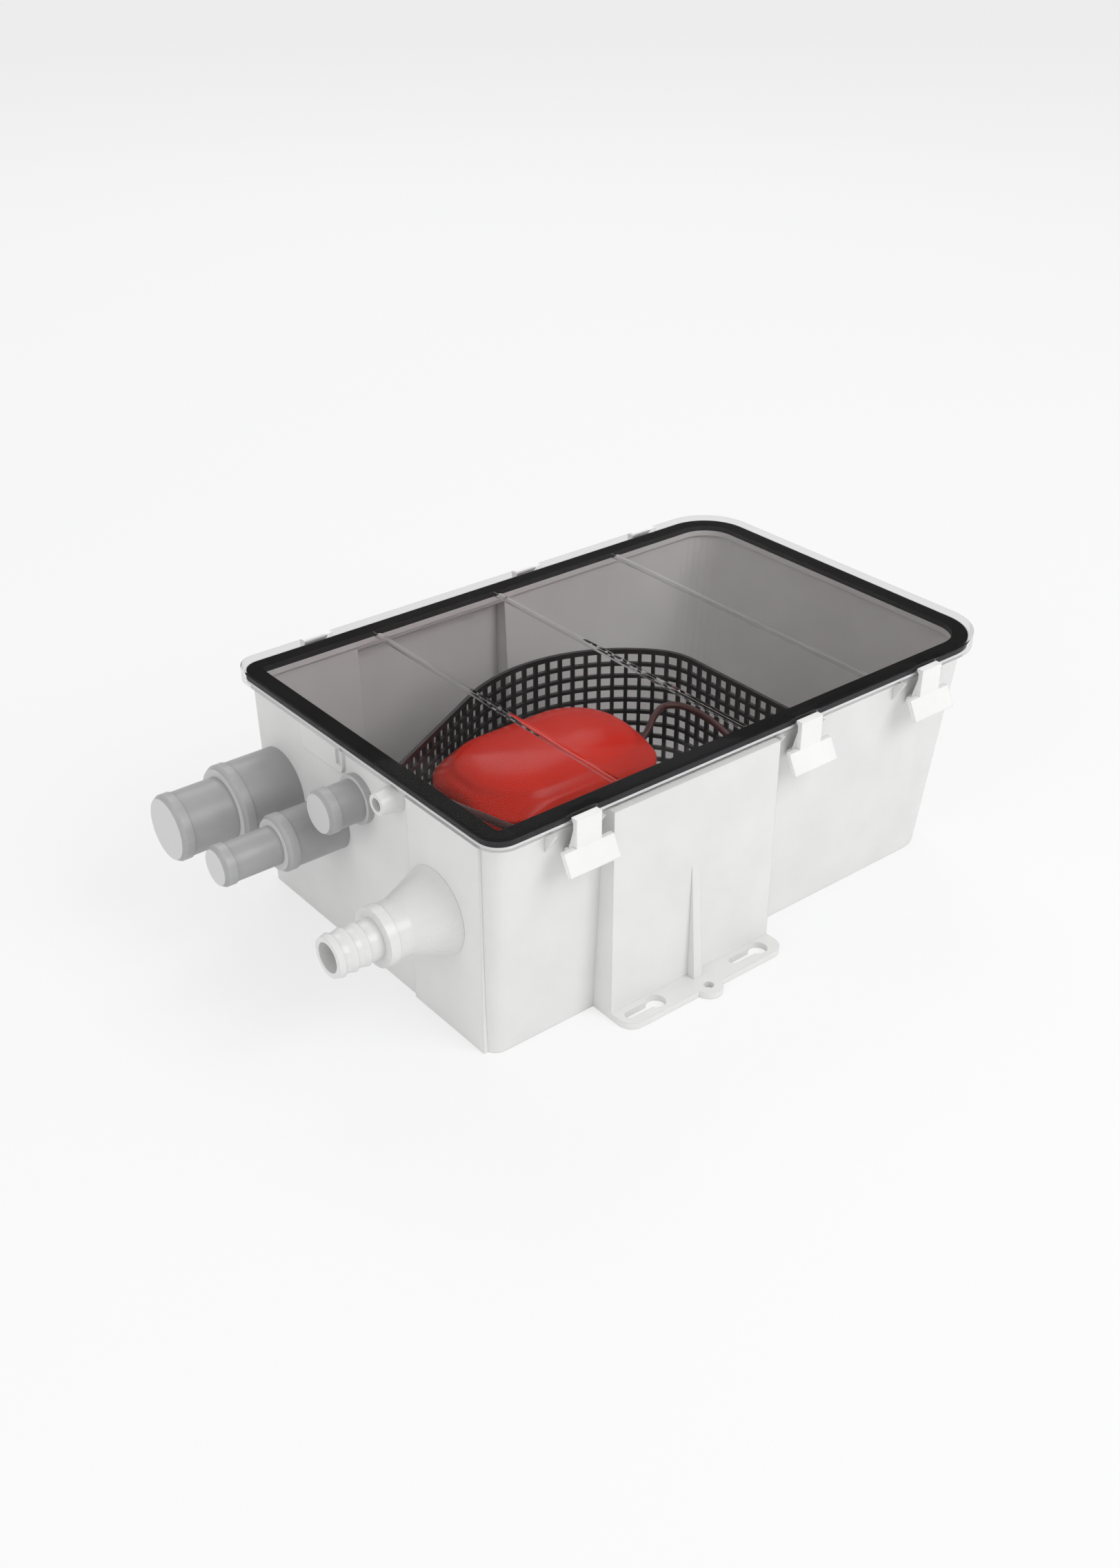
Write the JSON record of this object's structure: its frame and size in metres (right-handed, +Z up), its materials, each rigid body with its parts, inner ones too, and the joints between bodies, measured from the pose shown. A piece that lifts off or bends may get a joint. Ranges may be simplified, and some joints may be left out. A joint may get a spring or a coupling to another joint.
{
  "type": "shower drain sump pump",
  "caption": "Clear-lidded drain sump box with hose stubs, a bent strainer screen, a submersible pump with float switch and a ridged outlet.",
  "frame": {"origin": "centre of the underside of the box, midway along the lid", "axes": "+X to the far end wall, the hose stubs point along -X, +Y to the rear long side, +Z up"},
  "size_m": [0.355, 0.238, 0.113],
  "materials": {
    "box_plastic": "fine satin",
    "clear_plastic": "polished, smoke tinted",
    "seal_rubber": "matte",
    "latch_plastic": "smooth",
    "steel": "bright",
    "black_plastic": "satin",
    "stub_plastic": "satin",
    "dark_plastic": "satin",
    "hose_rubber": "matte",
    "red_plastic": "glossy",
    "lead_sheath": "satin",
    "magnet": "dull",
    "winding": "lacquered",
    "carbon": "dull",
    "bronze": "sintered"
  },
  "bodies": {
    "sump": {"sump_box": "box_plastic", "latch_pins": "steel", "strainer_screen": "black_plastic", "inlet_large": "stub_plastic", "inlet_medium": "stub_plastic", "inlet_small": "stub_plastic", "cable_nipple": "stub_plastic", "outlet_fitting": "stub_plastic", "outlet_tailpiece": "dark_plastic", "flap_pin": "steel", "discharge_elbow": "dark_plastic", "discharge_hose": "hose_rubber", "hose_clamps": "steel", "pump_base": "black_plastic", "base_screws": "steel", "pump_body": "black_plastic", "pump_cap": "red_plastic", "cap_grommet": "seal_rubber", "pump_lead": "lead_sheath", "shaft_seal": "seal_rubber", "motor_can": "steel", "motor_magnets": "magnet", "motor_brushes": "carbon", "shaft_bushes": "bronze", "float_bracket": "black_plastic", "float_pin": "steel"},
    "lid": {"clear_lid": "clear_plastic", "lid_seal": "seal_rubber"},
    "flap": {"check_flap": "seal_rubber"},
    "rotor": {"impeller": "dark_plastic", "motor_shaft": "steel", "armature": "winding"},
    "float": {"float_arm": "dark_plastic"},
    "latch_front_left": {"latch_front_left": "latch_plastic"},
    "latch_front_middle": {"latch_front_middle": "latch_plastic"},
    "latch_front_right": {"latch_front_right": "latch_plastic"},
    "latch_rear_left": {"latch_rear_left": "latch_plastic"},
    "latch_rear_middle": {"latch_rear_middle": "latch_plastic"},
    "latch_rear_right": {"latch_rear_right": "latch_plastic"}
  },
  "joints": [
    {"name": "lid_lift", "type": "slide", "parent": "sump", "child": "lid", "axis": [0, 0, 1], "range_m": [0, 0.045]},
    {"name": "latch_front_left_swing", "type": "hinge", "parent": "sump", "child": "latch_front_left", "pos_m": [-0.1045, -0.0973, 0.092], "axis": [1, 0, 0], "range_deg": [0, 70.01]},
    {"name": "latch_front_middle_swing", "type": "hinge", "parent": "sump", "child": "latch_front_middle", "pos_m": [0.0215, -0.0973, 0.092], "axis": [1, 0, 0], "range_deg": [0, 70.01]},
    {"name": "latch_front_right_swing", "type": "hinge", "parent": "sump", "child": "latch_front_right", "pos_m": [0.1, -0.0973, 0.092], "axis": [1, 0, 0], "range_deg": [0, 70.01]},
    {"name": "latch_rear_left_swing", "type": "hinge", "parent": "sump", "child": "latch_rear_left", "pos_m": [-0.1045, 0.0973, 0.092], "axis": [-1, 0, 0], "range_deg": [0, 70.01]},
    {"name": "latch_rear_middle_swing", "type": "hinge", "parent": "sump", "child": "latch_rear_middle", "pos_m": [0.0215, 0.0973, 0.092], "axis": [-1, 0, 0], "range_deg": [0, 70.01]},
    {"name": "latch_rear_right_swing", "type": "hinge", "parent": "sump", "child": "latch_rear_right", "pos_m": [0.1, 0.0973, 0.092], "axis": [-1, 0, 0], "range_deg": [0, 70.01]},
    {"name": "flap_swing", "type": "hinge", "parent": "sump", "child": "flap", "pos_m": [-0.148, -0.0535, 0.0675], "axis": [0, 1, 0], "range_deg": [0, 50]},
    {"name": "rotor_spin", "type": "hinge", "parent": "sump", "child": "rotor", "pos_m": [-0.062, -0.008, 0.04], "axis": [0, 0, 1], "continuous": true},
    {"name": "float_swing", "type": "hinge", "parent": "sump", "child": "float", "pos_m": [0.011, -0.009, 0.028], "axis": [0, -1, 0], "range_deg": [0, 28]}
  ],
  "couplings": [
    {"joint": "latch_front_left_swing", "follows": "lid_lift", "rad_per_m": 27.15},
    {"joint": "latch_front_middle_swing", "follows": "lid_lift", "rad_per_m": 27.15},
    {"joint": "latch_front_right_swing", "follows": "lid_lift", "rad_per_m": 27.15},
    {"joint": "latch_rear_left_swing", "follows": "lid_lift", "rad_per_m": 27.15},
    {"joint": "latch_rear_middle_swing", "follows": "lid_lift", "rad_per_m": 27.15},
    {"joint": "latch_rear_right_swing", "follows": "lid_lift", "rad_per_m": 27.15}
  ]
}
